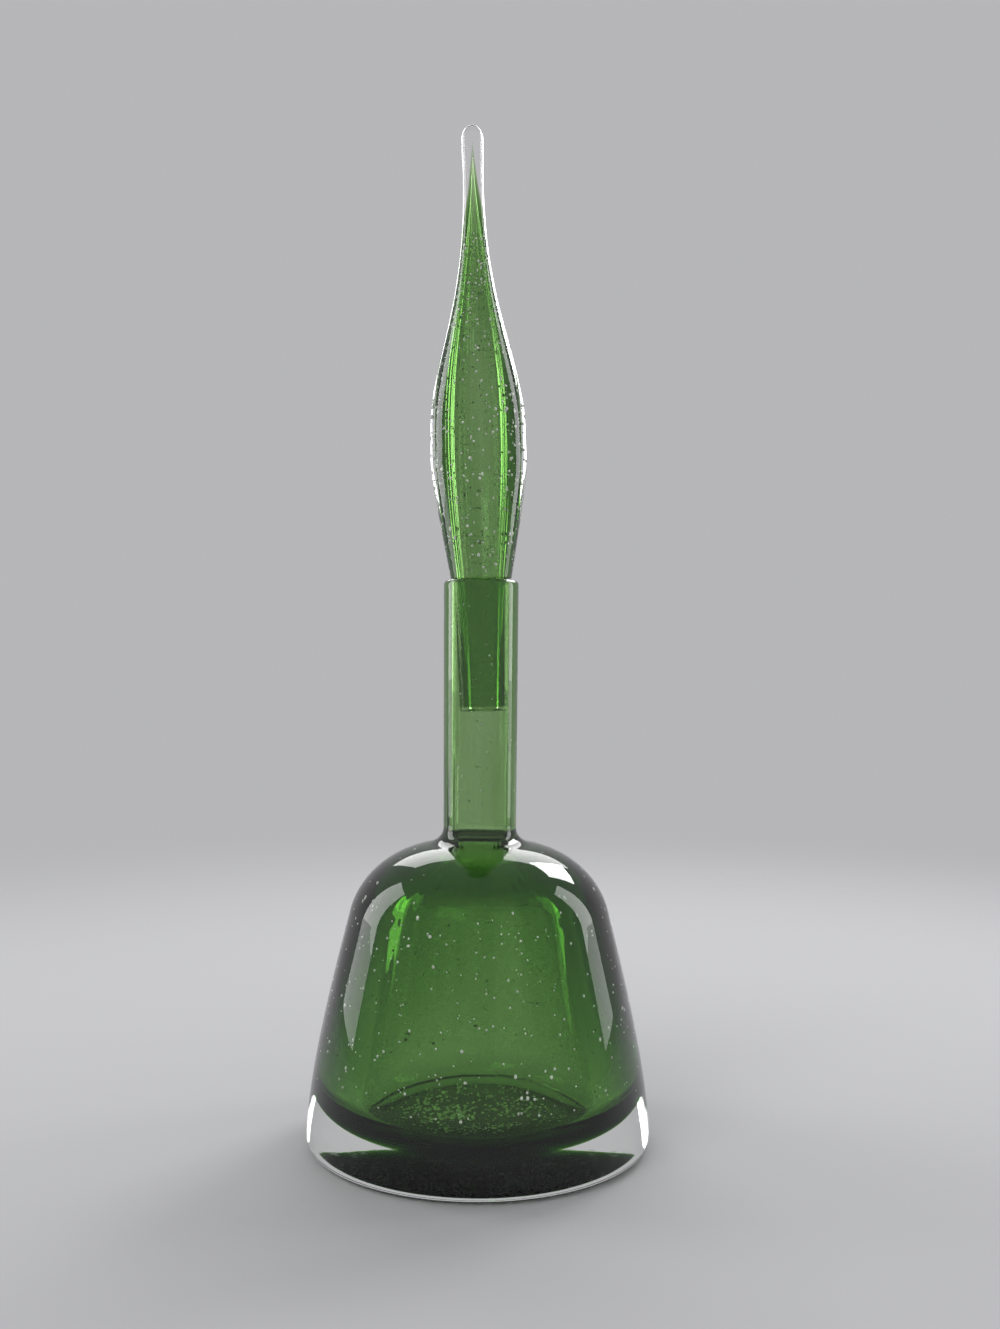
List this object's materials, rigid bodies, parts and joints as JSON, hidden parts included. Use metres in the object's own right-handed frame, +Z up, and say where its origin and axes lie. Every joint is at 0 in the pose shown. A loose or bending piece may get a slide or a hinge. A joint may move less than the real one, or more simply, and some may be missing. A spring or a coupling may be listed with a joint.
{
  "type": "stoppered glass decanter bottle",
  "caption": "Thick-walled cased glass bottle with a bell body, straight neck and a tall hollow flame stopper that lifts out of the mouth.",
  "frame": {"origin": "centre of the flat foot, on the surface the bottle stands on", "axes": "+Z up along the bottle's axis, -Y towards the viewer of the picture, -X the side the stopper leans to"},
  "size_m": [0.1466, 0.1466, 0.4371],
  "materials": {
    "clear_glass": "polished",
    "green_glass": "polished"
  },
  "bodies": {
    "bottle": {"bottle_casing": "clear_glass", "bottle_lining": "green_glass"},
    "stopper": {"stopper_casing": "clear_glass", "stopper_lining": "green_glass"}
  },
  "joints": [
    {"name": "stopper_lift", "type": "slide", "parent": "bottle", "child": "stopper", "axis": [0, 0, 1], "range_m": [0, 0.065]}
  ]
}
